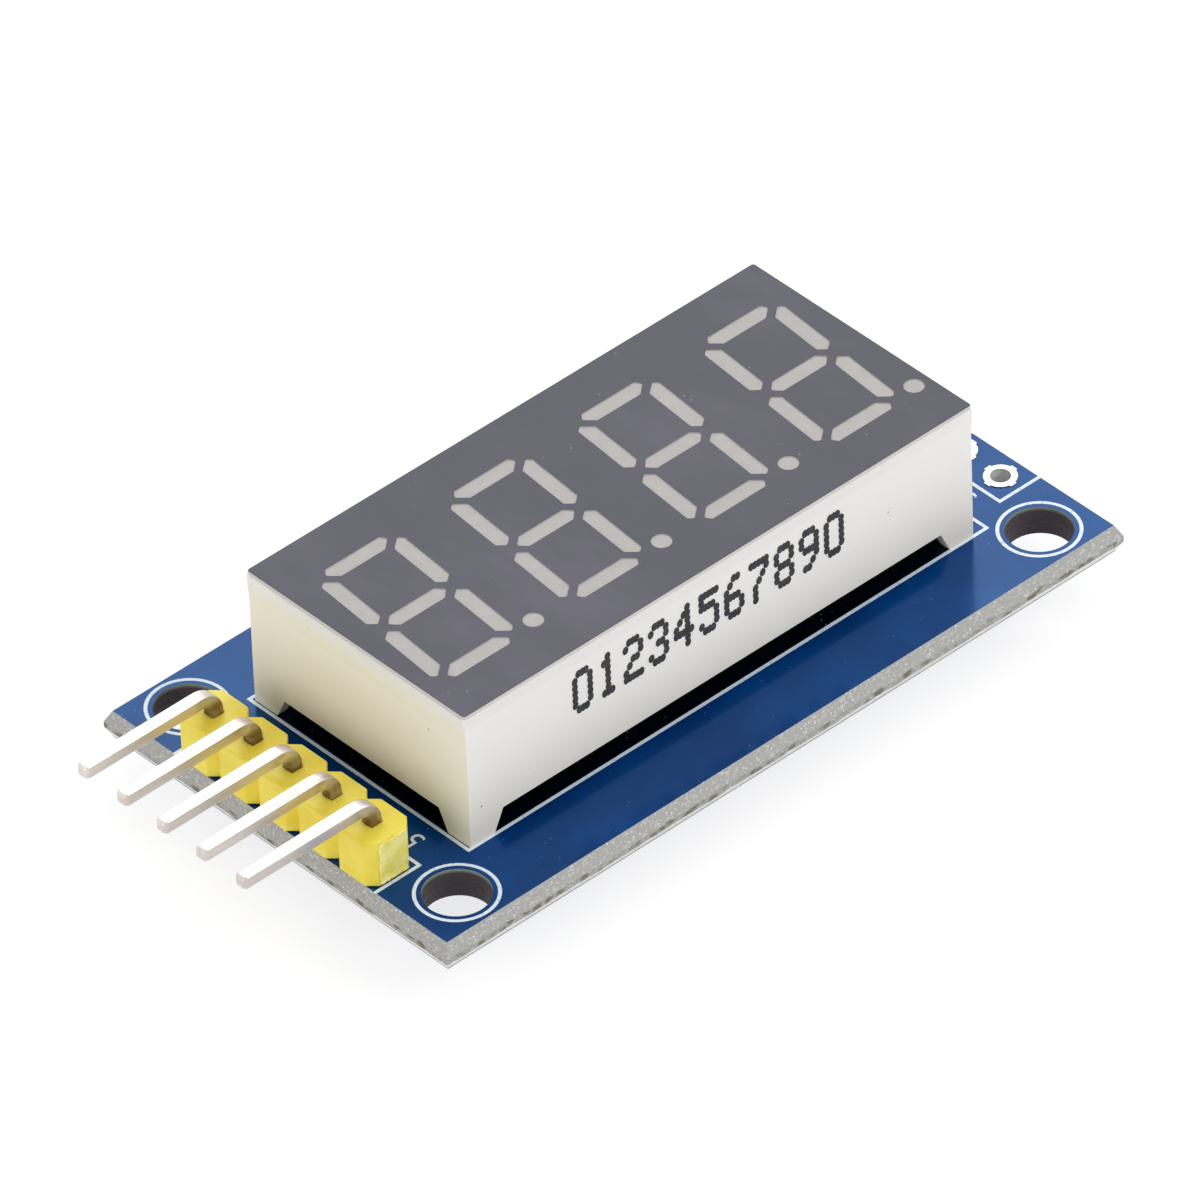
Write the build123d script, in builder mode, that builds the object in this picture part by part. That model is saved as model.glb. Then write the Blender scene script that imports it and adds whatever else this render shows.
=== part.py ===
from build123d import *
import math
import os

# Four-digit seven-segment display on its serial driver board. A moulded LED display stands on top of
# the board on four corner feet, a header with bent pins stands at the left end, and the holes for
# a second header lie empty at the right end. Two driver chips, eight resistors and two capacitors
# sit on the underside.
# All sizes are in millimetres. The origin is the centre of the four mounting holes, on the board's
# underside. +X is the reading direction, +Y points to the digits' tops, +Z out of the display's face.

# Display, outside
display_length = 30.0
display_width = 14.0
housing_height = 7.2
film_thickness = 0.15
film_inset = 0.06
housing_corner_radius = 0.2
end_rim_height = 1.45
end_rim_flare = 0.12
side_rim_height = 0.65
side_rim_flare = 0.06

# Feet: the walls stop above the board between the corners
end_notch_height = 1.1
side_notch_height = 1.17
foot_length = 1.5
end_foot_length = 1.5
foot_slope = 0.55

# Display, inside
housing_wall = 0.7
led_board_height = 1.5
led_board_thickness = 0.8
led_board_clearance = 0.05
resin_layer = 0.3
die_size = 0.3
die_thickness = 0.15
cavity_draft = 2.0
segment_recess = 0.03

# Digits
digit_count = 4
digit_gap = 2.7
digit_margin = 2.38
digit_lean = 5.0
digit_shift = (-0.11, -0.05)
segment_width = 0.8
segment_corner_radius = 0.12
cross_bar_gap = 0.21
cross_bar_mitre = 0.52
middle_bar_gap = 0.32
tip_rise = 0.08
tip_bevel = 0.22
side_bar_top_gap = 0.17
side_bar_mitre = 0.48
side_bar_tip_lean = 0.15
side_bar_middle_gap = 0.32
side_bar_point = 0.34
decimal_point_diameter = 0.94
decimal_point_offset = (0.54, 0.05)

# Display pins
display_pins_per_row = 6
display_pin_diameter = 0.5
display_pin_inset = 1.92
display_pin_tail = 1.9
display_pin_tip_radius = 0.1

# Circuit board
board_end_margin = 4.75
board_side_margin = 3.75
board_thickness = 1.5
score_depth = 0.6
edge_ridge = 0.3
mounting_hole_diameter = 3.1
mounting_hole_end_inset = 2.5
mounting_hole_side_inset = 2.1

# Plated holes
pin_pitch = 2.54
land_thickness = 0.05
land_diameter = 1.54
display_hole_clearance = 0.15
header_hole_diameter = 1.0
cascade_hole_diameter = 0.95
spoke_width = 0.34
spoke_reach = 0.08
row_inset = 1.2
row_shift = 0.25
row_holes = 5

# Bent header
header_pin_width = 0.64
header_pin_tail = 1.3
header_pin_rise = 3.6
header_pin_overhang = 6.35
header_pin_bend = 0.95
header_tip_length = 0.15
header_tip_taper = 30.0
header_tail_chamfer = 0.12
header_depth = 2.54
header_height = 2.45
header_corner = 0.46

# Solder joints
solder_rise = 0.75
solder_land_margin = 0.08
solder_wick = 0.12
solder_flare = 0.35

# Driver chips, on the underside
driver_length = 9.9
driver_width = 3.9
driver_thickness = 1.5
driver_standoff = 0.15
driver_spacing = 12.0
driver_pins_per_side = 8
driver_draft = 7.0
lead_pitch = 1.27
lead_width = 0.42
lead_thickness = 0.2
lead_span = 6.0
lead_foot = 0.55
lead_shoulder = 0.32
lead_bend = 0.14

# Chip resistors and capacitors, on the underside
resistor_count = 8
resistor_pitch = 2.0
resistor_inset = 2.6
resistor_size = (0.8, 1.6, 0.45)
capacitor_gap = 1.6
capacitor_size = (1.25, 2.0, 0.85)
terminal_length = 0.35
terminal_step = 0.02

# Sizes worked out from the driving dimensions
board_length = display_length + 2 * board_end_margin
board_width = display_width + 2 * board_side_margin
score_slope = math.degrees(math.atan(edge_ridge / score_depth))
pocket_length = display_length - 2 * housing_wall
pocket_width = display_width - 2 * housing_wall
housing_top = board_thickness + housing_height
led_board_bottom = board_thickness + led_board_height
led_board_top = led_board_bottom + led_board_thickness
cavity_floor = led_board_top + resin_layer
display_pin_row = display_width / 2 - display_pin_inset
display_hole_diameter = display_pin_diameter + 2 * display_hole_clearance
header_x = -(board_length / 2 - row_inset)
cascade_x = board_length / 2 - row_inset
header_base = board_thickness + land_thickness
header_pin_level = board_thickness + header_pin_rise
header_pin_end = -(board_length / 2 + header_pin_overhang)
driver_middle = -(driver_standoff + driver_thickness / 2)
resistor_row = board_width / 2 - resistor_inset
digit_pitch = display_length / digit_count
digit_height = display_width - 2 * digit_margin
column_x = (digit_pitch - digit_gap - segment_width) / 2
row_y = (digit_height - segment_width) / 2
point_x = column_x + segment_width / 2 + decimal_point_offset[0]
point_y = -row_y + decimal_point_offset[1]


def row_places(count, pitch, shift=0.0):
    """Distances along a row of evenly spaced places, centred on the shift."""
    return [shift + (index - (count - 1) / 2) * pitch for index in range(count)]


digit_centres = row_places(digit_count, digit_pitch)
display_pin_xs = row_places(display_pins_per_row, pin_pitch)
display_pin_places = [(x, -display_pin_row) for x in display_pin_xs]
display_pin_places += [(x, display_pin_row) for x in reversed(display_pin_xs)]
row_ys = list(reversed(row_places(row_holes, pin_pitch, row_shift)))
header_places = [(header_x, y) for y in row_ys]
cascade_places = [(cascade_x, y) for y in row_ys]
mounting_hole_places = [
    (side * (board_length / 2 - mounting_hole_end_inset), end * (board_width / 2 - mounting_hole_side_inset))
    for side in (-1, 1)
    for end in (-1, 1)
]
driver_xs = row_places(2, driver_spacing)
resistor_xs = row_places(resistor_count, resistor_pitch)
capacitor_xs = row_places(2, driver_spacing + driver_length + 2 * capacitor_gap)


def segment_corners():
    """Corner points of the seven bars of a digit that stands upright at the origin."""
    half = segment_width / 2
    reach = column_x - cross_bar_gap
    cross_bar = [
        (-reach, row_y + tip_rise),
        (-reach + tip_bevel, row_y + half),
        (reach - tip_bevel, row_y + half),
        (reach, row_y + tip_rise),
        (reach - cross_bar_mitre, row_y - half),
        (-reach + cross_bar_mitre, row_y - half),
    ]
    middle_reach = column_x - middle_bar_gap
    middle_bar = [
        (-middle_reach, 0),
        (-middle_reach + half, half),
        (middle_reach - half, half),
        (middle_reach, 0),
        (middle_reach - half, -half),
        (-middle_reach + half, -half),
    ]
    top = row_y - side_bar_top_gap
    side_bar = [
        (column_x + half, side_bar_middle_gap + side_bar_point),
        (column_x + half, top - tip_bevel),
        (column_x + side_bar_tip_lean, top),
        (column_x - half, top - side_bar_mitre),
        (column_x - half, side_bar_middle_gap + side_bar_point),
        (column_x, side_bar_middle_gap),
    ]
    bars = [cross_bar, middle_bar, [(x, -y) for x, y in cross_bar]]
    bars += [[(side * x, end * y) for x, y in side_bar] for side in (-1, 1) for end in (-1, 1)]
    return bars


def leaned(point, centre_x):
    """A point of the upright digit, leaned and moved to its digit's place on the face."""
    x, y = point
    return (centre_x + digit_shift[0] + x + y * math.tan(math.radians(digit_lean)), digit_shift[1] + y)


def point_place(centre_x):
    """The centre of a digit's decimal point."""
    return (centre_x + digit_shift[0] + point_x, digit_shift[1] + point_y)


def draw_segments():
    """Add the outlines of all bars and decimal points to the sketch that is being built."""
    for centre_x in digit_centres:
        for corners in segment_corners():
            with BuildSketch(mode=Mode.PRIVATE) as bar:
                with BuildLine():
                    Polyline(*[leaned(point, centre_x) for point in corners], close=True)
                make_face()
                fillet(bar.vertices(), segment_corner_radius)
            add(bar.sketch)
        with Locations(point_place(centre_x)):
            Circle(decimal_point_diameter / 2)


def die_places():
    """One place per bar and decimal point, in the middle of its outline."""
    places = []
    for centre_x in digit_centres:
        for corners in segment_corners():
            middle = [sum(values) / len(corners) for values in zip(*corners)]
            places.append(leaned(middle, centre_x))
        places.append(point_place(centre_x))
    return places


# The board: one laminate with four plain mounting holes and three groups of plated holes, each with
# its plating. It was snapped out of its panel along scored lines, so a ridge runs round its edge
# between two slopes.
plated_groups = [
    (display_pin_places, display_hole_diameter, False),
    (header_places, header_hole_diameter, False),
    (cascade_places, cascade_hole_diameter, True),
]

with BuildPart() as circuit_board:
    with BuildSketch(Plane.XY.offset(score_depth)):
        Rectangle(board_length + 2 * edge_ridge, board_width + 2 * edge_ridge)
    extrude(amount=board_thickness - 2 * score_depth)
    for ridge_z, depth in ((score_depth, -score_depth), (board_thickness - score_depth, score_depth)):
        with BuildSketch(Plane.XY.offset(ridge_z)):
            Rectangle(board_length + 2 * edge_ridge, board_width + 2 * edge_ridge)
        extrude(amount=depth, taper=score_slope)
    with BuildSketch():
        with Locations(*mounting_hole_places):
            Circle(mounting_hole_diameter / 2)
        for places, bore, has_spokes in plated_groups:
            with Locations(*places):
                Circle(bore / 2)
    extrude(amount=board_thickness, mode=Mode.SUBTRACT)

# The lands: every plated hole has a tinned ring on each face of the board. Those of the empty holes
# have four short spokes that join them to the copper around them.
with BuildPart() as tinned_lands:
    for places, bore, has_spokes in plated_groups:
        for face_z, thickness in ((board_thickness, land_thickness), (0, -land_thickness)):
            with BuildSketch(Plane.XY.offset(face_z)):
                with Locations(*places):
                    Circle(land_diameter / 2)
                    if has_spokes:
                        Rectangle(land_diameter + 2 * spoke_reach, spoke_width)
                        Rectangle(spoke_width, land_diameter + 2 * spoke_reach)
                    Circle(bore / 2, mode=Mode.SUBTRACT)
            extrude(amount=thickness)

# The display's housing: a white reflector block on four corner feet. Its walls flare a little
# towards the face, and every bar has a tapered cavity that narrows down to its LED.
with BuildPart() as display_housing:
    with BuildSketch(Plane.XY.offset(board_thickness)):
        RectangleRounded(display_length, display_width, housing_corner_radius)
    extrude(amount=housing_height)
    with BuildSketch(Plane.XZ):
        with BuildLine():
            half_length = display_length / 2
            Polyline(
                (-half_length + end_rim_flare, board_thickness),
                (-half_length + foot_length, board_thickness),
                (-half_length + foot_length + foot_slope, board_thickness + side_notch_height),
                (half_length - foot_length - foot_slope, board_thickness + side_notch_height),
                (half_length - foot_length, board_thickness),
                (half_length - end_rim_flare, board_thickness),
                (half_length - end_rim_flare, housing_top - end_rim_height),
                (half_length, housing_top),
                (-half_length, housing_top),
                (-half_length + end_rim_flare, housing_top - end_rim_height),
                close=True,
            )
        make_face()
    extrude(amount=display_width, both=True, mode=Mode.INTERSECT)
    with BuildSketch(Plane.YZ):
        with BuildLine():
            half_width = display_width / 2
            Polyline(
                (-half_width + side_rim_flare, board_thickness),
                (-half_width + end_foot_length, board_thickness),
                (-half_width + end_foot_length + foot_slope, board_thickness + end_notch_height),
                (half_width - end_foot_length - foot_slope, board_thickness + end_notch_height),
                (half_width - end_foot_length, board_thickness),
                (half_width - side_rim_flare, board_thickness),
                (half_width - side_rim_flare, housing_top - side_rim_height),
                (half_width, housing_top),
                (-half_width, housing_top),
                (-half_width + side_rim_flare, housing_top - side_rim_height),
                close=True,
            )
        make_face()
    extrude(amount=display_length, both=True, mode=Mode.INTERSECT)
    with BuildSketch(Plane.XY.offset(board_thickness)):
        Rectangle(pocket_length, pocket_width)
    extrude(amount=cavity_floor - board_thickness, mode=Mode.SUBTRACT)
    with BuildSketch(Plane.XY.offset(housing_top)):
        draw_segments()
    extrude(amount=cavity_floor - housing_top, taper=cavity_draft, mode=Mode.SUBTRACT)

# The face film: a thin grey sheet with a window over every bar.
with BuildPart() as face_film:
    with BuildSketch(Plane.XY.offset(housing_top)):
        RectangleRounded(
            display_length - 2 * film_inset,
            display_width - 2 * film_inset,
            housing_corner_radius - film_inset,
        )
    extrude(amount=film_thickness)
    with BuildSketch(Plane.XY.offset(housing_top)):
        draw_segments()
    extrude(amount=film_thickness, mode=Mode.SUBTRACT)

# The LED board: it closes the cavities from below and holds the twelve pins.
with BuildPart() as led_board:
    with BuildSketch(Plane.XY.offset(led_board_bottom)):
        Rectangle(pocket_length - 2 * led_board_clearance, pocket_width - 2 * led_board_clearance)
        with Locations(*display_pin_places):
            Circle(display_pin_diameter / 2, mode=Mode.SUBTRACT)
    extrude(amount=led_board_thickness)

# One LED die stands under every bar and decimal point.
with BuildPart() as led_dies:
    with BuildSketch(Plane.XY.offset(led_board_top)):
        with Locations(*die_places()):
            Rectangle(die_size, die_size)
    extrude(amount=die_thickness)

# The resin: one cast layer over the LED board that fills the cavities and the film's windows.
with BuildPart() as resin_fill:
    with BuildSketch(Plane.XY.offset(led_board_top)):
        Rectangle(pocket_length, pocket_width)
    extrude(amount=resin_layer)
    with BuildSketch(Plane.XY.offset(housing_top)):
        draw_segments()
    extrude(amount=cavity_floor - housing_top, taper=cavity_draft)
    with BuildSketch(Plane.XY.offset(housing_top)):
        draw_segments()
    extrude(amount=film_thickness - segment_recess)
    with BuildSketch(Plane.XY.offset(led_board_top)):
        with Locations(*die_places()):
            Rectangle(die_size, die_size)
    extrude(amount=die_thickness, mode=Mode.SUBTRACT)

# The display's pins: round wires from the LED board down through the circuit board.
display_pins = []
for x, y in display_pin_places:
    with BuildPart() as display_pin:
        with BuildSketch(Plane((x, y, -display_pin_tail))):
            Circle(display_pin_diameter / 2)
        extrude(amount=led_board_top + display_pin_tail)
        fillet(display_pin.edges().group_by(Axis.Z)[0], display_pin_tip_radius)
    display_pins.append(display_pin)

# The header's strip: five blocks in one moulding, with V-shaped grooves between them, that stands on
# the lands of its holes.
block_x = header_depth / 2
block_y = pin_pitch / 2
block_corners = [
    (block_x, block_y - header_corner),
    (block_x - header_corner, block_y),
    (-block_x + header_corner, block_y),
    (-block_x, block_y - header_corner),
    (-block_x, -block_y + header_corner),
    (-block_x + header_corner, -block_y),
    (block_x - header_corner, -block_y),
    (block_x, -block_y + header_corner),
]
with BuildPart() as header_strip:
    with BuildSketch(Plane.XY.offset(header_base)):
        with Locations(*header_places):
            Polygon(*block_corners)
            Rectangle(header_pin_width, header_pin_width, mode=Mode.SUBTRACT)
    extrude(amount=header_height)

# The header's pins: square wires that rise out of the strip and bend outwards over the board's end.
header_pins = []
for x, y in header_places:
    with BuildPart() as header_pin:
        with BuildLine(Plane.XZ.offset(-y)):
            FilletPolyline(
                (x, -header_pin_tail),
                (x, header_pin_level),
                (header_pin_end + header_tip_length, header_pin_level),
                radius=header_pin_bend,
            )
        with BuildSketch(Plane((x, y, -header_pin_tail))):
            Rectangle(header_pin_width, header_pin_width)
        sweep()
        extrude(header_pin.faces().sort_by(Axis.X)[0], amount=header_tip_length, taper=header_tip_taper)
        chamfer(header_pin.edges().group_by(Axis.Z)[0], header_tail_chamfer)
    header_pins.append(header_pin)


def solder_joint(place, bore, top, pin_reach, pin_outline):
    """One joint: solder fills the hole around the pin and stands as a hollow cone on the lower land."""
    x, y = place
    foot = land_diameter / 2 - solder_land_margin
    with BuildPart() as joint:
        with BuildSketch(Plane((x, y, 0), x_dir=(1, 0, 0), z_dir=(0, -1, 0))):
            with BuildLine():
                Line((0, top), (bore / 2, top))
                Line((bore / 2, top), (bore / 2, -land_thickness))
                Line((bore / 2, -land_thickness), (foot, -land_thickness))
                TangentArc(
                    (foot, -land_thickness),
                    (pin_reach + solder_wick, -land_thickness - solder_rise),
                    tangent=(-1, -solder_flare),
                )
                Line((pin_reach + solder_wick, -land_thickness - solder_rise), (0, -land_thickness - solder_rise))
                Line((0, -land_thickness - solder_rise), (0, top))
            make_face()
        revolve(axis=Axis((x, y, 0), (0, 0, 1)))
        with BuildSketch(Plane((x, y, -header_pin_tail))):
            add(pin_outline)
        extrude(amount=header_pin_tail + top, mode=Mode.SUBTRACT)
    return joint


with BuildSketch() as round_pin:
    Circle(display_pin_diameter / 2)
with BuildSketch() as square_pin:
    Rectangle(header_pin_width, header_pin_width)

display_solder = [
    solder_joint(place, display_hole_diameter, header_base, display_pin_diameter / 2, round_pin.sketch)
    for place in display_pin_places
]
header_solder = [
    solder_joint(place, header_hole_diameter, header_base, header_pin_width / 2, square_pin.sketch)
    for place in header_places
]

# The driver chips: moulded bodies with drafted faces above and below the line of their leads.
driver_bodies = []
driver_leads = []
for driver_x in driver_xs:
    with BuildPart() as driver_body:
        for direction in (-1, 1):
            band = lead_thickness / 2 * direction
            with BuildSketch(Plane((driver_x, 0, driver_middle))):
                Rectangle(driver_length, driver_width)
            extrude(amount=band)
            with BuildSketch(Plane((driver_x, 0, driver_middle + band))):
                Rectangle(driver_length, driver_width)
            extrude(amount=direction * (driver_thickness - lead_thickness) / 2, taper=driver_draft)
    driver_bodies.append(driver_body)

    # The leads: gull wings that leave the body at mid height and stand on the board with flat feet.
    with BuildPart() as leads:
        for lead_x in row_places(driver_pins_per_side, lead_pitch, driver_x):
            with BuildSketch(Plane.YZ.offset(lead_x - lead_width / 2)):
                with BuildLine():
                    FilletPolyline(
                        (driver_width / 2, driver_middle),
                        (driver_width / 2 + lead_shoulder, driver_middle),
                        (lead_span / 2 - lead_foot, -lead_thickness / 2),
                        (lead_span / 2, -lead_thickness / 2),
                        radius=lead_bend,
                    )
                trace(line_width=lead_thickness)
            extrude(amount=lead_width)
        mirror(about=Plane.XZ)
    driver_leads.append(leads)


def chip_part(x, y, size):
    """A chip resistor or capacitor on the underside: a ceramic block between two thicker end caps."""
    width, length, height = size
    with BuildPart() as chip:
        with BuildSketch(Plane((x, y, 0))):
            Rectangle(width - 2 * terminal_step, length - 2 * terminal_length)
        extrude(amount=-(height - terminal_step))
        with BuildSketch(Plane((x, y, 0))):
            with GridLocations(0, length - terminal_length, 1, 2):
                Rectangle(width, terminal_length)
        extrude(amount=-height)
    return chip


resistors = [chip_part(x, resistor_row, resistor_size) for x in resistor_xs]
capacitors = [chip_part(x, 0, capacitor_size) for x in capacitor_xs]

# Every piece is written to a file of its own.
named_pieces = {
    "circuit_board": circuit_board,
    "tinned_lands": tinned_lands,
    "display_housing": display_housing,
    "face_film": face_film,
    "resin_fill": resin_fill,
    "led_board": led_board,
    "led_dies": led_dies,
    "header_strip": header_strip,
}
repeated_pieces = {
    "display_pin": display_pins,
    "display_solder": display_solder,
    "header_pin": header_pins,
    "header_solder": header_solder,
    "driver_body": driver_bodies,
    "driver_leads": driver_leads,
    "resistor": resistors,
    "capacitor": capacitors,
}
for stem, pieces in repeated_pieces.items():
    for number, piece in enumerate(pieces, start=1):
        named_pieces[f"{stem}_{number}"] = piece

os.makedirs("parts", exist_ok=True)
for node, piece in named_pieces.items():
    piece.part.label = node
    export_step(piece.part, f"parts/{node}.step")
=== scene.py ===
import math

import bmesh
import bpy
from mathutils import Matrix, Vector, noise


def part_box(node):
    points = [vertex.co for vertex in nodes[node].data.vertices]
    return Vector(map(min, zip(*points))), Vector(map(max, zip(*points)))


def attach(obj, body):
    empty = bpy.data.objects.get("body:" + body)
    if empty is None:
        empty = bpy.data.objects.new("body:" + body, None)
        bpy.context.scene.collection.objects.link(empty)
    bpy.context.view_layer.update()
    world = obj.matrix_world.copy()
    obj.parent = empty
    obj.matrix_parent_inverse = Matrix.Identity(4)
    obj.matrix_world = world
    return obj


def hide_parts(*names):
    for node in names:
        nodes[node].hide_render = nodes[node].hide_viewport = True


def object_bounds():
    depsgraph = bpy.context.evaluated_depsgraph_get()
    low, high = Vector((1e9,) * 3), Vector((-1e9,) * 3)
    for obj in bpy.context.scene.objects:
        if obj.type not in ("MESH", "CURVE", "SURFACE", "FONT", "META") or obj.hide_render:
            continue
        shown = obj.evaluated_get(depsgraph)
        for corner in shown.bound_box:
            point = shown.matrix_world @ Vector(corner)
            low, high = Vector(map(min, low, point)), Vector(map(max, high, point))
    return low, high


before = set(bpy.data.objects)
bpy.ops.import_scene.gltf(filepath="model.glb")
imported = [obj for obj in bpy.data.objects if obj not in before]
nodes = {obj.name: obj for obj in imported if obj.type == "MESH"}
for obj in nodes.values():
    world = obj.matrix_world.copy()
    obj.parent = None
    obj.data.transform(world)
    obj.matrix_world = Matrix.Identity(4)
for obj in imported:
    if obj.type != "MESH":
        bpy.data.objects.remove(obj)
cad_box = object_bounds()

# The view. A long lens looks down on the module's near left corner, with the digits' feet towards it
# and the bent pins pointing to the left. The camera leans a little to its right.
view_azimuth = math.radians(-41.27)
view_elevation = math.radians(39.82)
view_lean = math.radians(-2.27)
view_distance = 0.7242
view_target = Vector((-0.00166, -0.00089, 0.0040))

view_back = Vector(
    (
        math.sin(view_azimuth) * math.cos(view_elevation),
        -math.cos(view_azimuth) * math.cos(view_elevation),
        math.sin(view_elevation),
    )
)
camera = bpy.data.objects.new("camera", bpy.data.cameras.new("camera"))
camera.data.lens = 501.2
camera.data.sensor_width = 36.0
camera.data.clip_start = 0.05
camera.data.clip_end = 10.0
camera.rotation_mode = "QUATERNION"
camera.location = view_target + view_back * view_distance
camera.rotation_quaternion = (-view_back).to_track_quat("-Z", "Y") @ Matrix.Rotation(view_lean, 4, "Z").to_quaternion()
bpy.context.collection.objects.link(camera)
bpy.context.scene.camera = camera


class Wire:
    """An output socket of a node tree. Arithmetic on it adds Math nodes, and node() any other node."""

    def __init__(self, tree, socket=None):
        self.tree = tree
        self.socket = socket

    def node(self, kind, settings=None, inputs=None, output=0):
        added = self.tree.nodes.new(kind)
        for name, value in (settings or {}).items():
            if name == "stops":
                while len(added.color_ramp.elements) < len(value):
                    added.color_ramp.elements.new(0.5)
                for stop, (place, colour) in zip(added.color_ramp.elements, value):
                    stop.position = place
                    stop.color = colour
            else:
                setattr(added, name, value)
        for name, value in (inputs or {}).items():
            if isinstance(value, Wire):
                self.tree.links.new(value.socket, added.inputs[name])
            else:
                added.inputs[name].default_value = value
        return Wire(self.tree, added.outputs[output])

    def math(self, operation, first, second=0.0, third=0.0):
        return self.node("ShaderNodeMath", {"operation": operation}, {0: first, 1: second, 2: third})

    def __add__(self, other):
        return self.math("ADD", self, other)

    def __sub__(self, other):
        return self.math("SUBTRACT", self, other)

    def __mul__(self, other):
        return self.math("MULTIPLY", self, other)

    def __truediv__(self, other):
        return self.math("DIVIDE", self, other)

    def __radd__(self, other):
        return self.math("ADD", other, self)

    def __rsub__(self, other):
        return self.math("SUBTRACT", other, self)

    def __rmul__(self, other):
        return self.math("MULTIPLY", other, self)

    def __abs__(self):
        return self.math("ABSOLUTE", self)

    def __gt__(self, other):
        return self.math("GREATER_THAN", self, other)

    def __lt__(self, other):
        return self.math("LESS_THAN", self, other)

    def over(self, low, high):
        """1 where the value is at high or more, 0 where it is at low or less, smooth in between."""
        ends = {"Value": self, "From Min": low, "From Max": high}
        return self.node("ShaderNodeMapRange", {"interpolation_type": "SMOOTHSTEP"}, ends)

    def blend(self, first, second):
        """The first colour where this wire is 0, and the second where it is 1."""
        return self.node("ShaderNodeMix", {"data_type": "RGBA"}, {0: self, 6: first, 7: second}, 2)

    def noise(self, scale, detail=2.0, roughness=0.5, stretch=(1.0, 1.0, 1.0)):
        """Noise over the piece, with the scale in patches per metre."""
        place = self.node("ShaderNodeMapping", None, {"Vector": self, "Scale": stretch})
        return self.node("ShaderNodeTexNoise", None, {"Vector": place, "Scale": scale, "Detail": detail, "Roughness": roughness})

    def cells(self, scale, stretch=(1.0, 1.0, 1.0), randomness=1.0):
        """Distance to the nearest of many scattered points, with the scale in points per metre."""
        place = self.node("ShaderNodeMapping", None, {"Vector": self, "Scale": stretch})
        return self.node("ShaderNodeTexVoronoi", None, {"Vector": place, "Scale": scale, "Randomness": randomness})

    def axes(self):
        """The three parts of a vector."""
        split = self.node("ShaderNodeSeparateXYZ", None, {"Vector": self}).socket.node
        return [Wire(self.tree, split.outputs[axis]) for axis in "XYZ"]


def colour(red, green, blue):
    """A colour given by its display values from 0 to 255, as the linear values that nodes take."""
    linear = [value / 255 / 12.92 if value < 11 else ((value / 255 + 0.055) / 1.055) ** 2.4 for value in (red, green, blue)]
    return (*linear, 1.0)


# The studio. A pale floor and a white surround, with one soft lamp in front on the right and one
# bright one behind, which the flat glossy faces mirror. The floor is seen only from above.
bpy.context.scene.view_settings.view_transform = "Standard"
world = bpy.data.worlds.new("surround")
bpy.context.scene.world = world
world.use_nodes = True
sky = Wire(world.node_tree)
sky_rays = [sky.node("ShaderNodeLightPath", output=ray) for ray in ("Is Camera Ray", "Is Glossy Ray", "Is Transmission Ray")]
sky_seen = sky.math("MAXIMUM", sky.math("MAXIMUM", sky_rays[0], sky_rays[1]), sky_rays[2])
background = world.node_tree.nodes["Background"]
background.inputs["Color"].default_value = (1.0, 1.0, 1.0, 1.0)
world.node_tree.links.new((0.55 + sky_seen * 0.45).socket, background.inputs["Strength"])


def hang_lamp(name, azimuth, elevation, distance, width, height, power):
    """A soft lamp that faces the module from the given bearing, where azimuth 0 is in front of it."""
    lamp = bpy.data.objects.new(name, bpy.data.lights.new(name, "AREA"))
    lamp.data.shape = "RECTANGLE"
    lamp.data.size = width
    lamp.data.size_y = height
    lamp.data.energy = power
    turn = math.radians(azimuth)
    rise = math.radians(elevation)
    bearing = Vector((math.sin(turn) * math.cos(rise), -math.cos(turn) * math.cos(rise), math.sin(rise)))
    lamp.location = bearing * distance
    lamp.rotation_mode = "QUATERNION"
    lamp.rotation_quaternion = (-bearing).to_track_quat("-Z", "Y")
    bpy.context.collection.objects.link(lamp)


hang_lamp("front_lamp", azimuth=35, elevation=35, distance=1.0, width=0.6, height=0.6, power=4.0)
hang_lamp("rear_lamp", azimuth=139, elevation=42, distance=0.9, width=0.8, height=0.5, power=2.9)
hang_lamp("left_lamp", azimuth=-95, elevation=22, distance=1.0, width=0.6, height=0.5, power=2.5)

floor_mesh = bmesh.new()
bmesh.ops.create_grid(floor_mesh, x_segments=1, y_segments=1, size=3.0)
bmesh.ops.translate(floor_mesh, verts=floor_mesh.verts, vec=(0, 0, cad_box[0][2]))
floor = bpy.data.objects.new("floor", bpy.data.meshes.new("floor"))
floor_mesh.to_mesh(floor.data)
floor_mesh.free()
bpy.context.collection.objects.link(floor)
floor_finish = bpy.data.materials.new("pale_floor")
floor_finish.use_nodes = True
floor.data.materials.append(floor_finish)
ground = Wire(floor_finish.node_tree)
floor_rays = [ground.node("ShaderNodeLightPath", output=ray) for ray in ("Is Camera Ray", "Is Glossy Ray", "Is Transmission Ray")]
floor_seen = ground.math("MAXIMUM", ground.math("MAXIMUM", floor_rays[0], floor_rays[1]), floor_rays[2])
floor_paint = ground.node("ShaderNodeBsdfDiffuse", None, {"Color": colour(246, 246, 246)})
floor_glow = ground.node("ShaderNodeEmission", None, {"Color": (1.0, 1.0, 1.0, 1.0), "Strength": 0.78})
floor_shade = ground.node("ShaderNodeBsdfDiffuse", None, {"Color": (0.3, 0.3, 0.3, 1.0)})
floor_white = ground.node("ShaderNodeAddShader", None, {0: floor_shade, 1: floor_glow})
floor_top = ground.node("ShaderNodeMixShader", None, {0: floor_seen, 1: floor_paint, 2: floor_white})
floor_back = ground.node("ShaderNodeNewGeometry", output="Backfacing")
floor_clear = ground.node("ShaderNodeBsdfTransparent")
floor_skin = ground.node("ShaderNodeMixShader", None, {0: floor_back, 1: floor_top, 2: floor_clear})
floor_finish.node_tree.links.new(floor_skin.socket, floor_finish.node_tree.nodes["Material Output"].inputs["Surface"])

# The circuit board. Glass-fibre laminate under a glossy blue solder mask, snapped out of its panel
# along scored lines, so its edge shows cut fibres above and below a rough line of broken resin.
board_low, board_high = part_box("circuit_board")
board_top = 0.0015


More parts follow.
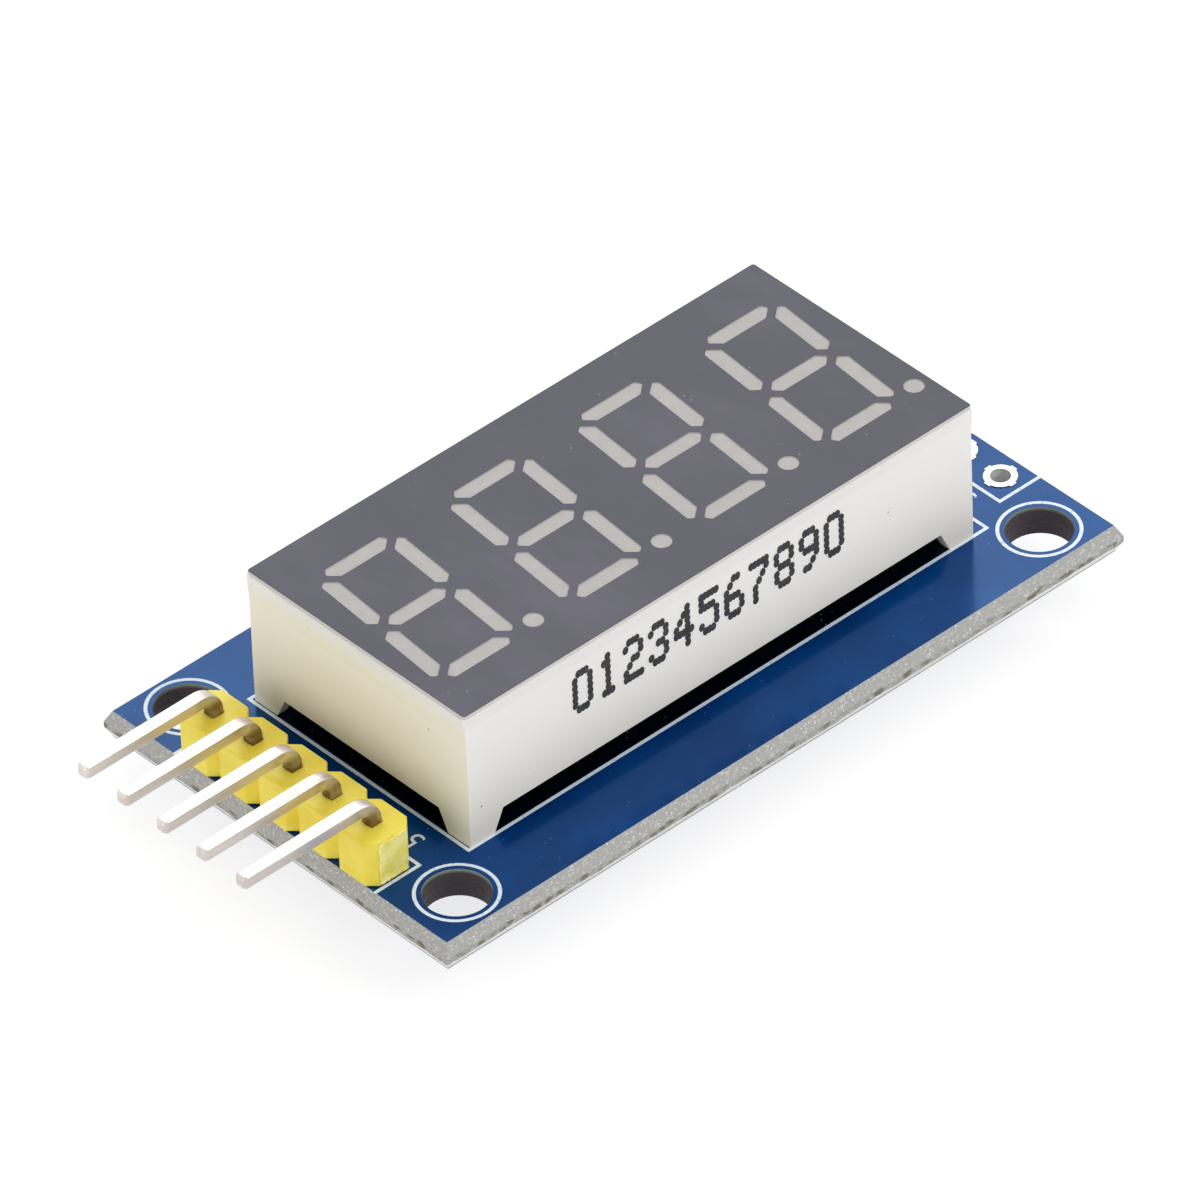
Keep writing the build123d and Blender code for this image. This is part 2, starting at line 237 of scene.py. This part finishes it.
def start_finish(name):
    """A new material with its bare shader, and the place on the piece as a wire."""
    material = bpy.data.materials.new(name)
    material.use_nodes = True
    place = Wire(material.node_tree).node("ShaderNodeTexCoord", output="Object")
    return material, place


def set_finish(material, place, inputs, bump=None, depth=0.0):
    """Put values and wires on the shader's sockets, and a bump of the given depth in metres on its normal."""
    shader = material.node_tree.nodes["Principled BSDF"]
    for name, value in inputs.items():
        if isinstance(value, Wire):
            material.node_tree.links.new(value.socket, shader.inputs[name])
        else:
            shader.inputs[name].default_value = value
    if bump is not None:
        raised = place.node("ShaderNodeBump", None, {"Strength": 1.0, "Distance": depth, "Height": bump})
        material.node_tree.links.new(raised.socket, shader.inputs["Normal"])


def give_finish(piece, material):
    """Make the material the piece's only one."""
    piece.data.materials.clear()
    piece.data.materials.append(material)


board_finish, place = start_finish("board_laminate")
along_x, along_y, height = place.axes()
facing = abs(place.node("ShaderNodeNewGeometry", output="Normal").axes()[2])
is_face = facing.over(0.75, 0.85)
inside = (abs(along_x) < board_high.x - 0.0006) * (abs(along_y) < board_high.y - 0.0006)
near_mounting = (abs(abs(along_x) - 0.01725) < 0.0017) * (abs(abs(along_y) - 0.00865) < 0.0017)
is_plated = inside * (1 - near_mounting) * (1 - is_face)

# Mask: deep blue, a little paler in broad patches, with fine dust.
patches = place.noise(260.0, 3.0).over(0.35, 0.7)
mask_blue = patches.blend(colour(3, 48, 106), colour(5, 60, 122))
# Under the display's footprint the mask is painted near-black: painted shade under the housing.
painted_shade_under_display = (1 - abs(along_x).over(0.01480, 0.01496)) * (1 - abs(along_y).over(0.00680, 0.00696)) * height.over(0.0014, 0.0015)
mask_blue = painted_shade_under_display.blend(mask_blue, colour(1, 5, 16))
dust = place.cells(2600.0).over(0.09, 0.05) * place.noise(700.0).over(0.5, 0.62)
mask_blue = dust.blend(mask_blue, colour(120, 150, 190))

# Edge: cut fibres as short flecks in grey resin, olive spots where it broke, and pale below.
fibre = place.noise(5200.0, 3.0, 0.65, (1.0, 1.0, 1.6)).over(0.44, 0.66)
edge_colour = fibre.blend(colour(176, 173, 165), colour(208, 206, 199))
fleck = place.cells(6400.0).over(0.3, 0.18) * place.noise(2600.0).over(0.52, 0.62)
edge_colour = fleck.blend(edge_colour, colour(250, 250, 248))
wander = height + (place.noise(900.0, 3.0) - 0.5) * 0.0005
broken = wander.over(0.00048, 0.00060) * (1 - wander.over(0.00078, 0.00090))
olive = place.cells(1500.0, (1.0, 1.0, 1.3)).over(0.55, 0.25) * place.noise(1500.0).over(0.3, 0.5)
edge_colour = (broken * (0.2 + olive * 0.75)).blend(edge_colour, colour(122, 112, 76))
below = 1 - wander.over(0.00042, 0.00052)
edge_colour = below.blend(edge_colour, height.over(0.00012, 0.00022).blend(colour(168, 168, 166), colour(244, 244, 240)))
# The mounting holes' walls are painted dark brown with a paler rim at the top: painted shade deeper in the hole.
hole_wall_shade = height.over(0.00125, 0.00147).blend(colour(78, 62, 50), colour(150, 160, 140))
edge_colour = (inside * near_mounting).blend(edge_colour, hole_wall_shade)
edge_colour = is_plated.blend(edge_colour, colour(222, 219, 214))
board_colour = is_face.blend(edge_colour, mask_blue)
peel = place.noise(1500.0, 2.0) * 0.3 + patches * 0.7
board_bump = is_face * peel * 0.02 + (1 - is_face) * (fibre * 0.5 + broken * (olive * 1.2))
set_finish(
    board_finish,
    place,
    {
        "Base Color": board_colour,
        "Roughness": (1 - is_face) * 0.55 + is_face * (0.16 + dust * 0.3),
        "Metallic": is_plated * 0.45,
        "Specular Tint": (0.02, 0.36, 1.0, 1.0),
        "IOR": 1.5,
    },
    board_bump,
    0.00005,
)
give_finish(nodes["circuit_board"], board_finish)

# The printed lines. White epoxy ink, screened on top of the mask: a ring round each mounting hole,
# the display's outline, the corners of the two header boxes, and small place numbers.
print_line = 0.00017


def finish_piece(name, mesh, material, smooth=False, replaced=()):
    """Turn a bmesh into a piece that rides on the module."""
    piece = bpy.data.objects.new(name, bpy.data.meshes.new(name))
    mesh.to_mesh(piece.data)
    mesh.free()
    bpy.context.collection.objects.link(piece)
    give_finish(piece, material)
    for face in piece.data.polygons:
        face.use_smooth = smooth
    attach(piece, "root")
    if replaced:
        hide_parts(*replaced)
    return piece


def draw_line(mesh, start, end, width, level):
    """A flat line from start to end at the given height."""
    run = Vector(end) - Vector(start)
    middle = (Vector(start) + Vector(end)) / 2
    turn = Matrix.Rotation(math.atan2(run.y, run.x), 4, "Z")
    stretch = Matrix.Diagonal((run.length + width, width, 1, 1))
    move = Matrix.Translation((middle.x, middle.y, level))
    bmesh.ops.create_grid(mesh, x_segments=1, y_segments=1, size=0.5, matrix=move @ turn @ stretch)


def draw_ring(mesh, x, y, inner, outer, level):
    """A flat ring at the given height."""
    hoop = bmesh.ops.create_circle(mesh, segments=64, radius=inner, matrix=Matrix.Translation((x, y, level)))["verts"]
    edges = list({edge for vert in hoop for edge in vert.link_edges})
    grown = bmesh.ops.extrude_edge_only(mesh, edges=edges)["geom"]
    rim = [item for item in grown if isinstance(item, bmesh.types.BMVert)]
    bmesh.ops.scale(mesh, verts=rim, vec=(outer / inner, outer / inner, 1), space=Matrix.Translation((-x, -y, 0)))


def draw_number(mesh, number, height, x, y, level, turn=0.0):
    """A place number in plain type, centred at a place on the board."""
    text = bpy.data.curves.new("number", "FONT")
    text.body = number
    text.size = height / 0.72
    text.align_x = "CENTER"
    text.align_y = "CENTER"
    writing = bpy.data.objects.new("number", text)
    flat = bpy.data.meshes.new_from_object(writing)
    flat.transform(Matrix.Translation((x, y, level)) @ Matrix.Rotation(math.radians(turn), 4, "Z"))
    mesh.from_mesh(flat)
    bpy.data.objects.remove(writing)
    bpy.data.curves.remove(text)
    bpy.data.meshes.remove(flat)


def thicken(piece, thickness, offset=1.0):
    """Give a flat printed piece its thickness."""
    coat = piece.modifiers.new("coat", "SOLIDIFY")
    coat.thickness = thickness
    coat.offset = offset


ink_level = board_top + 0.000002
print_mesh = bmesh.new()
for side in (-1, 1):
    for end in (-1, 1):
        draw_ring(print_mesh, side * 0.01725, end * 0.00865, 0.00176, 0.00193, ink_level)
outline = [(-0.01503, 0.00715), (-0.01503, -0.00697), (0.01567, -0.00697), (0.01567, 0.00715), (-0.01503, 0.00715)]
outline_runs = list(zip(outline[:-1], outline[1:]))
outline_runs += [((0.0147, -0.00683), (0.0155, -0.006))]
outline_runs += [((-0.0172, -0.0062), (-0.01972, -0.0062)), ((-0.0172, -0.0062), (-0.0172, 0.0067)), ((-0.0172, 0.0067), (-0.01972, 0.0067))]
outline_runs += [((0.01733, -0.00606), (0.01972, -0.00606)), ((0.01733, -0.00606), (0.01733, 0.0066)), ((0.01733, 0.0066), (0.01972, 0.0066))]
for start, end in outline_runs:
    draw_line(print_mesh, start, end, print_line, ink_level + (0.000004 if start[0] == end[0] else 0.0))
for hole in range(5):
    hole_y = 0.00025 + (2 - hole) * 0.00254
    draw_number(print_mesh, str(hole + 1), 0.0010, -0.01622, hole_y, ink_level, 90)
    draw_number(print_mesh, str(hole + 1), 0.0010, 0.01650, hole_y, ink_level, 90)

ink_finish, place = start_finish("printed_ink")
ink_wear = place.noise(5200.0, 3.0).over(0.56, 0.72)
set_finish(
    ink_finish,
    place,
    {"Base Color": ink_wear.blend(colour(226, 236, 246), colour(176, 200, 228)), "Roughness": 0.45 + ink_wear * 0.2},
    place.noise(4200.0),
    0.000008,
)
thicken(finish_piece("board_print", print_mesh, ink_finish), 0.000012)

# The lands and holes. Copper rings, hot-air tinned, with a thin uneven skin of solder on them.
land_finish, place = start_finish("tinned_copper")
skin = place.noise(1400.0, 3.0)
set_finish(
    land_finish,
    place,
    {
        "Base Color": skin.over(0.3, 0.7).blend(colour(170, 166, 162), colour(214, 211, 207)),
        "Roughness": 0.22 + skin * 0.25,
        "Metallic": 1.0,
    },
    skin,
    0.00002,
)
give_finish(nodes["tinned_lands"], land_finish)

# The display's housing. White moulded plastic, matt on its walls, with fine dark specks, a band under the face that the
# mould left smoother and that is painted lighter, painted shade that darkens and warms it towards the board, and
# painted warm light from the yellow header on the walls that face it.
housing_finish, place = start_finish("white_plastic")
along_x, along_y, height = place.axes()
speck = place.cells(900.0).over(0.075, 0.03) * place.noise(400.0, 1.0).over(0.52, 0.6)
# Darker and warmer towards the board, with some noise: painted shade.
lower_painted_shade = (1 - height.over(0.0015, 0.0060)) * (0.25 + place.noise(330.0, 3.0) * 0.6)
# Walls facing -X, towards the yellow header, are painted a warm yellowish white: painted reflected light from the
# header.
painted_warm_light = 1 - place.node("ShaderNodeNewGeometry", output="Normal").axes()[0].over(-0.8, -0.5)
shell_colour = painted_warm_light.blend(colour(240, 238, 233), colour(243, 238, 220))
shell_colour = lower_painted_shade.blend(shell_colour, colour(230, 224, 204))
shell_colour = speck.blend(shell_colour, colour(120, 116, 110))
band = height.over(0.00802, 0.00806)
# The band under the face is painted plain white over the painted warm light below it, so it reads lighter: a painted
# highlight. Its smoother finish is real.
shell_colour = band.blend(shell_colour, colour(240, 238, 234))
streaks = place.noise(1500.0, 2.0, 0.5, (1.0, 1.0, 0.12))
set_finish(
    housing_finish,
    place,
    {
        "Base Color": shell_colour,
        "Roughness": 0.42 + streaks * 0.16 - band * 0.1,
        "Specular IOR Level": 0.4,
        "Subsurface Weight": 0.08,
        "Subsurface Radius": (0.0012, 0.0011, 0.0009),
        "Subsurface Scale": 1.0,
    },
    streaks * 0.5 + place.noise(3800.0) * 0.5,
    0.00001,
)
give_finish(nodes["display_housing"], housing_finish)

# The wall's number row: figures jetted in ink on a grid of five by seven dots that run into each
# other, in one line on the long wall under the lower edge of the face.
dot_rows = {
    "0": "01110 10001 10001 10001 10001 10001 01110",
    "1": "00100 01100 00100 00100 00100 00100 01110",
    "2": "01110 10001 00001 00110 01000 10000 11111",
    "3": "01110 10001 00001 00110 00001 10001 01110",
    "4": "00010 00110 01010 10010 11111 00010 00010",
    "5": "11111 10000 11110 00001 00001 10001 01110",
    "6": "00110 01000 10000 11110 10001 10001 01110",
    "7": "11111 00001 00010 00100 01000 01000 01000",
    "8": "01110 10001 10001 01110 10001 10001 01110",
    "9": "01110 10001 10001 01111 00001 00010 01100",
}
dot_pitch_x = 0.00022
dot_pitch_z = 0.00033
wall_y = -0.006943
dot_mesh = bmesh.new()
for position, figure in enumerate("01234567890"):
    left = -0.0086 + position * 0.00148
    for row, line in enumerate(dot_rows[figure].split()):
        for column, mark in enumerate(line):
            if mark == "1":
                build_up = 0.000002 * (row % 2 * 2 + column % 2)
                spot = Matrix.Translation((left + column * dot_pitch_x, wall_y - build_up, 0.00742 - row * dot_pitch_z))
                upright = Matrix.Rotation(math.radians(90), 4, "X") @ Matrix.Diagonal((1.0, 1.3, 1.0, 1.0))
                bmesh.ops.create_circle(dot_mesh, cap_ends=True, segments=12, radius=0.00017, matrix=spot @ upright)
dot_finish, place = start_finish("marking_ink")
fade = place.noise(3000.0).over(0.45, 0.75)
set_finish(dot_finish, place, {"Base Color": fade.blend(colour(30, 30, 33), colour(62, 62, 66)), "Roughness": 0.5 + fade * 0.2})
thicken(finish_piece("wall_number_dots", dot_mesh, dot_finish), 0.000008)

# The face film. Grey printed film, satin, with fine scratches and faint wipe marks, and a dark line round its edge that
# is partly its dark cut edge and partly painted shade.
film_finish, place = start_finish("grey_film")
along_x, along_y, height = place.axes()
wipe = place.noise(150.0, 4.0, 0.6, (1.0, 0.5, 1.0)).over(0.35, 0.75)
scratch_one = place.cells(420.0, (0.06, 1.0, 1.0)).over(0.035, 0.012) * place.noise(90.0).over(0.5, 0.6)
scratch_two = place.cells(500.0, (1.0, 0.05, 1.0)).over(0.03, 0.01) * place.noise(120.0).over(0.55, 0.62)
marks = place.math("MAXIMUM", scratch_one, scratch_two)
film_colour = wipe.blend(colour(66, 66, 79), colour(94, 93, 105))
fleck = place.cells(1300.0).over(0.1, 0.04) * place.noise(500.0).over(0.52, 0.6)
film_colour = (fleck * 0.5).blend(film_colour, colour(150, 150, 156))
film_colour = (marks * 0.4).blend(film_colour, colour(140, 140, 146))
# A dark hairline round the top's outer edge: partly the film's dark cut edge, partly painted shade of the edge.
edge_x = abs(along_x).over(0.01487, 0.01492)
edge_y = abs(along_y).over(0.00687, 0.00692)
film_edge = place.math("MAXIMUM", edge_x, edge_y)
film_colour = (film_edge * 0.6).blend(film_colour, colour(56, 54, 60))
film_side = 1 - abs(place.node("ShaderNodeNewGeometry", output="Normal").axes()[2]).over(0.4, 0.6)
film_colour = film_side.blend(film_colour, colour(206, 203, 198))
grain = place.noise(9000.0, 1.0)
set_finish(
    film_finish,
    place,
    {"Base Color": film_colour, "Roughness": 0.42 + wipe * 0.14 + marks * 0.15, "Specular IOR Level": 0.3},
    grain * 0.4 + marks * 0.6,
    0.000006,
)
give_finish(nodes["face_film"], film_finish)

# The bars. Milky diffusing resin, cast into the cavities and set a hair below the film, smooth on top.
resin_finish, place = start_finish("diffusing_resin")
cloud = place.noise(900.0, 3.0).over(0.35, 0.7)
set_finish(
    resin_finish,
    place,
    {
        "Base Color": cloud.blend(colour(163, 158, 155), colour(174, 169, 166)),
        "Roughness": 0.3 + cloud * 0.12,
        "Subsurface Weight": 0.15,
        "Subsurface Radius": (0.0012, 0.0012, 0.0012),
        "Subsurface Scale": 1.0,
    },
    cloud,
    0.00002,
)
give_finish(nodes["resin_fill"], resin_finish)

# Inside the display: a green glass-fibre LED board and the small dies on it.
led_board_finish, place = start_finish("led_board_laminate")
weave = place.noise(1800.0, 2.0).over(0.4, 0.6)
set_finish(led_board_finish, place, {"Base Color": weave.blend(colour(70, 96, 62), colour(92, 118, 78)), "Roughness": 0.5}, weave, 0.00002)
give_finish(nodes["led_board"], led_board_finish)
die_finish, place = start_finish("led_die")
facet = place.cells(9000.0).over(0.2, 0.5)
set_finish(die_finish, place, {"Base Color": facet.blend(colour(190, 170, 110), colour(120, 106, 70)), "Roughness": 0.25, "Metallic": 0.3})
give_finish(nodes["led_dies"], die_finish)

# The header's strip. Yellow glass-filled nylon, moulded in a long bar and broken off to five places,
# which leaves small ragged nibs on its ends.
strip_low, strip_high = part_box("header_strip")


def soften(node, width, segments=2, angle=35.0):
    """A merged copy of a CAD node with its sharp edges rounded, to stand for the node."""
    mesh = bmesh.new()
    mesh.from_mesh(nodes[node].data)
    bmesh.ops.remove_doubles(mesh, verts=mesh.verts, dist=0.0000005)
    bmesh.ops.dissolve_limit(mesh, angle_limit=math.radians(1.0), verts=mesh.verts, edges=mesh.edges)
    sharp = [edge for edge in mesh.edges if len(edge.link_faces) == 2 and edge.calc_face_angle(0.0) > math.radians(angle)]
    bmesh.ops.bevel(
        mesh,
        geom=sharp,
        offset=width,
        offset_type="OFFSET",
        affect="EDGES",
        segments=segments,
        profile=0.5,
        material=-1,
        clamp_overlap=True,
    )
    return mesh


strip_finish, place = start_finish("yellow_plastic")
flow = place.noise(700.0, 3.0, 0.6, (1.0, 0.4, 1.0)).over(0.35, 0.7)
strip_colour = flow.blend(colour(246, 226, 76), colour(238, 212, 56))
pale_edge = place.noise(2600.0, 2.0).over(0.6, 0.75)
strip_colour = (pale_edge * 0.35).blend(strip_colour, colour(246, 230, 130))
set_finish(
    strip_finish,
    place,
    {
        "Base Color": strip_colour,
        "Roughness": 0.4 + flow * 0.15,
        "Subsurface Weight": 0.15,
        "Subsurface Radius": (0.0010, 0.0007, 0.0002),
        "Subsurface Scale": 1.0,
    },
    place.noise(3200.0) * 0.6 + flow * 0.4,
    0.000012,
)
strip_mesh = soften("header_strip", 0.00006)
finish_piece("header_block", strip_mesh, strip_finish, replaced=["header_strip"])

# The strip's broken ends. Where it was snapped off its bar, the plastic tore: a pale rough scar on each
# end face, with a ragged lip along its outer edges.
scar_mesh = bmesh.new()
scar_width = 0.00152
scar_height = strip_high.z - strip_low.z - 0.0003
for end_y, outward in ((strip_low.y, -1), (strip_high.y, 1)):
    facing_out = Matrix.Rotation(math.radians(90 * -outward), 4, "X")
    spread = Matrix.Diagonal((scar_width, scar_height, 1.0, 1.0))
    middle = Vector(((strip_low.x + strip_high.x) / 2, end_y, (strip_low.z + strip_high.z) / 2))
    scar = bmesh.ops.create_grid(scar_mesh, x_segments=18, y_segments=24, size=0.5, matrix=Matrix.Translation(middle) @ facing_out @ spread)["verts"]
    for vert in scar:
        across = abs(vert.co.x - middle.x) / (scar_width / 2)
        upward = abs(vert.co.z - middle.z) / (scar_height / 2)
        rough = noise.noise(vert.co * 2600) * 0.7 + noise.noise(vert.co * 9000) * 0.3
        lip = max(across, upward) ** 8 * (0.00007 + 0.00007 * noise.noise(vert.co * 7000))
        vert.co.y += outward * (0.000012 + 0.000012 * (rough + 0.5) + max(lip, 0.0))
        if max(across, upward) > 0.99:
            vert.co.x += 0.00005 * noise.noise(vert.co * 9000)
            vert.co.z += 0.00005 * noise.noise(vert.co * 8000 + Vector((7, 0, 0)))
scar_finish, place = start_finish("torn_plastic")
torn = place.noise(1700.0, 3.0)
set_finish(
    scar_finish,
    place,
    {"Base Color": torn.over(0.35, 0.65).blend(colour(234, 222, 104), colour(246, 240, 156)), "Roughness": 0.6 + torn * 0.2},
    torn,
    0.00003,
)
thicken(finish_piece("strip_scars", scar_mesh, scar_finish), 0.00008, -1.0)

# The header's pins. Square phosphor-bronze wire, tinned bright, dulled where it was bent, and painted brown under the
# bend: painted shade and painted yellow reflection of the strip, with a little blotchy stain.
pin_finish, place = start_finish("tinned_wire")
along_x, along_y, height = place.axes()
strip_middle = (strip_low.x + strip_high.x) / 2
at_bend = along_x.over(strip_middle - 0.0016, strip_middle - 0.0009)
under_bend = 1 - height.over(0.0045, 0.0051)
# Under the bend the wire is painted brown: painted shade and painted yellow reflection of the strip, with a little
# blotchy stain.
bend_shade_and_stain = at_bend * (under_bend * 0.9 + place.noise(1800.0, 2.0, 0.5, (0.5, 1.0, 0.5)).over(0.4, 0.6) * 0.4)
sheen = place.noise(1200.0, 3.0, 0.5, (0.15, 1.0, 1.0))
wire_colour = sheen.over(0.3, 0.7).blend(colour(204, 195, 189), colour(222, 214, 208))
wire_colour = (bend_shade_and_stain * 0.8).blend(wire_colour, colour(128, 108, 76))
set_finish(
    pin_finish,
    place,
    {"Base Color": wire_colour, "Roughness": 0.28 + sheen * 0.14 + bend_shade_and_stain * 0.12, "Metallic": 0.85},
    sheen,
    0.00001,
)
for number in range(1, 6):
    pin_mesh = soften(f"header_pin_{number}", 0.0001, 3, 25.0)
    finish_piece(f"bent_pin_{number}", pin_mesh, pin_finish, replaced=[f"header_pin_{number}"])
for number in range(1, 13):
    give_finish(nodes[f"display_pin_{number}"], pin_finish)

# The solder joints. Bright tin-lead cones on the underside, smooth, with a dull ring of flux at the foot.
solder_finish, place = start_finish("solder")
ripple = place.noise(1100.0, 3.0)
flux = place.axes()[2].over(-0.00012, -0.00004) * place.noise(1900.0).over(0.4, 0.65)
set_finish(
    solder_finish,
    place,
    {
        "Base Color": flux.blend(ripple.over(0.3, 0.7).blend(colour(190, 190, 192), colour(224, 224, 226)), colour(150, 118, 70)),
        "Roughness": 0.16 + ripple * 0.2 + flux * 0.2,
        "Metallic": 1 - flux * 0.6,
    },
    ripple,
    0.00003,
)
for number in range(1, 13):
    give_finish(nodes[f"display_solder_{number}"], solder_finish)
for number in range(1, 6):
    give_finish(nodes[f"header_solder_{number}"], solder_finish)

# The driver chips. Black moulded epoxy, matt and slightly grainy, with a polished round dimple at lead 1.
epoxy_finish, place = start_finish("black_epoxy")
pitting = place.noise(5200.0, 2.0)
set_finish(
    epoxy_finish,
    place,
    {"Base Color": pitting.over(0.35, 0.7).blend(colour(34, 34, 36), colour(52, 52, 54)), "Roughness": 0.5 + pitting * 0.2},
    pitting,
    0.000012,
)
lead_finish, place = start_finish("tinned_leads")
drawn = place.noise(1600.0, 2.0)
set_finish(
    lead_finish,
    place,
    {"Base Color": drawn.over(0.3, 0.7).blend(colour(190, 188, 184), colour(226, 224, 220)), "Roughness": 0.25 + drawn * 0.15, "Metallic": 1.0},
    drawn,
    0.000008,
)
dimple_mesh = bmesh.new()
for number in (1, 2):
    body_low, body_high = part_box(f"driver_body_{number}")
    give_finish(nodes[f"driver_body_{number}"], epoxy_finish)
    give_finish(nodes[f"driver_leads_{number}"], lead_finish)
    draw_ring(dimple_mesh, body_low.x + 0.0009, -0.0011, 0.00026, 0.00034, body_low.z - 0.000004)
    bmesh.ops.create_circle(dimple_mesh, cap_ends=True, segments=32, radius=0.00026, matrix=Matrix.Translation((body_low.x + 0.0009, -0.0011, body_low.z - 0.000003)))
    draw_line(dimple_mesh, (body_low.x + 0.00035, -0.0004), (body_low.x + 0.00035, 0.0004), 0.00016, body_low.z - 0.000004)
dimple_finish, place = start_finish("polished_epoxy")
gloss = place.noise(2400.0)
set_finish(dimple_finish, place, {"Base Color": gloss.blend(colour(18, 18, 20), colour(30, 30, 32)), "Roughness": 0.12 + gloss * 0.1})
thicken(finish_piece("driver_marks", dimple_mesh, dimple_finish), 0.00001, 0.0)

# The chip resistors and capacitors: fired ceramic blocks between tinned caps.
for stem, count, length, body_colours in (
    ("resistor", 8, 0.0016, ((26, 26, 30), (46, 46, 50))),
    ("capacitor", 2, 0.0020, ((150, 118, 84), (172, 140, 104))),
):
    chip_finish, place = start_finish(f"{stem}_ceramic")
    along_x, along_y, height = place.axes()
    chip_low, chip_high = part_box(f"{stem}_1")
    from_middle = abs(along_y - (chip_low.y + chip_high.y) / 2)
    cap = from_middle.over(length / 2 - 0.00037, length / 2 - 0.00034)
    ceramic = place.noise(3200.0).blend(colour(*body_colours[0]), colour(*body_colours[1]))
    if stem == "resistor":
        ceramic = height.over(chip_low.z + 0.00006, chip_low.z + 0.00010).blend(ceramic, colour(232, 230, 222))
    tin = place.noise(2600.0, 3.0)
    set_finish(
        chip_finish,
        place,
        {
            "Base Color": cap.blend(ceramic, tin.blend(colour(180, 178, 174), colour(228, 226, 222))),
            "Roughness": 0.3 + tin * 0.2,
            "Metallic": cap,
        },
        tin,
        0.00001,
    )
    for number in range(1, count + 1):
        give_finish(nodes[f"{stem}_{number}"], chip_finish)

# The underside's copper: pads under the leads and chips, and tracks under the mask that join the
# drivers to the display's pins, the resistors to their supply, and the two rows of holes.
pad_mesh = bmesh.new()
track_mesh = bmesh.new()
pad_level = -0.000012
track_level = -0.000016
fillet_mesh = bmesh.new()


def build_fillet(mesh, x, y, width, length, height, outward):
    """A wedge of solder that leans on the end of a lead or chip, standing on its pad."""
    wedge = bmesh.ops.create_cube(mesh, size=1.0, matrix=Matrix.Translation((x, y, -height / 2)) @ Matrix.Diagonal((width, length, height, 1)))["verts"]
    for vert in wedge:
        if vert.co.z < -height / 2:
            vert.co.y -= outward * length * 0.42
            vert.co.x += (x - vert.co.x) * 0.3


for number in (1, 2):
    body_low, body_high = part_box(f"driver_body_{number}")
    body_x = (body_low.x + body_high.x) / 2
    for lead in range(8):
        lead_x = body_x + (lead - 3.5) * 0.00127
        for side in (-1, 1):
            draw_line(pad_mesh, (lead_x, side * 0.0025), (lead_x, side * 0.00325), 0.0006, pad_level)
            build_fillet(fillet_mesh, lead_x, side * 0.00312, 0.00044, 0.00028, 0.00018, side)
for stem, count, half_length, width, rise in (("resistor", 8, 0.0008, 0.0009, 0.00032), ("capacitor", 2, 0.0010, 0.0014, 0.0005)):
    for number in range(1, count + 1):
        chip_low, chip_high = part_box(f"{stem}_{number}")
        chip_x = (chip_low.x + chip_high.x) / 2
        chip_y = (chip_low.y + chip_high.y) / 2
        for side in (-1, 1):
            draw_line(pad_mesh, (chip_x, chip_y + side * (half_length - 0.0002)), (chip_x, chip_y + side * (half_length + 0.00012)), width, pad_level)
            build_fillet(fillet_mesh, chip_x, chip_y + side * (half_length + 0.00012), width * 0.86, 0.00028, rise, side)
pin_xs = [(pin - 2.5) * 0.00254 for pin in range(6)]
lead_xs = [body + (lead - 3.5) * 0.00127 for body in (-0.006, 0.006) for lead in range(8)]
for side in (-1, 1):
    for pin_x in pin_xs:
        lead_x = min(lead_xs, key=lambda x: abs(x - pin_x))
        turns = [(lead_x, side * 0.0033), (lead_x, side * 0.0038), (pin_x, side * 0.0043), (pin_x, side * 0.00508)]
        for step, (start, end) in enumerate(zip(turns[:-1], turns[1:])):
            draw_line(track_mesh, start, end, 0.0003, track_level - step * 0.000003)
draw_line(track_mesh, (-0.0105, 0.0095), (0.0105, 0.0095), 0.0005, track_level)
for number in range(8):
    chip_x = (number - 3.5) * 0.002
    draw_line(track_mesh, (chip_x, 0.0088), (chip_x, 0.0095), 0.0003, track_level - 0.000003)
    between = min(pin_xs, key=lambda x: abs(x + 0.00127 - chip_x)) + 0.00127
    turns = [(chip_x, 0.0075), (chip_x, 0.0068), (between, 0.0062), (between, 0.0040)]
    for step, (start, end) in enumerate(zip(turns[:-1], turns[1:])):
        draw_line(track_mesh, start, end, 0.00025, track_level - (step + number % 2 * 3) * 0.000003)
for row in range(5):
    row_y = 0.00025 + (2 - row) * 0.00254
    for side in (-1, 1):
        draw_line(track_mesh, (side * 0.01855, row_y), (side * 0.0152, row_y), 0.0004, track_level)
        draw_line(track_mesh, (side * 0.0152, row_y), (side * 0.0144, row_y - 0.0008), 0.0004, track_level - 0.000003)
thicken(finish_piece("surface_pads", pad_mesh, land_finish), 0.00002, 0.0)
bmesh.ops.bevel(fillet_mesh, geom=fillet_mesh.edges, offset=0.00004, affect="EDGES", segments=2, profile=0.5, material=-1)
finish_piece("lead_fillets", fillet_mesh, solder_finish, smooth=True)
track_finish, place = start_finish("masked_copper")
cover = place.noise(600.0, 3.0).over(0.35, 0.7)
set_finish(
    track_finish,
    place,
    {"Base Color": cover.blend(colour(30, 84, 158), colour(40, 98, 172)), "Roughness": 0.2 + cover * 0.05, "Specular Tint": (0.02, 0.36, 1.0, 1.0)},
    cover,
    0.00001,
)
thicken(finish_piece("masked_tracks", track_mesh, track_finish), 0.00002, 0.0)
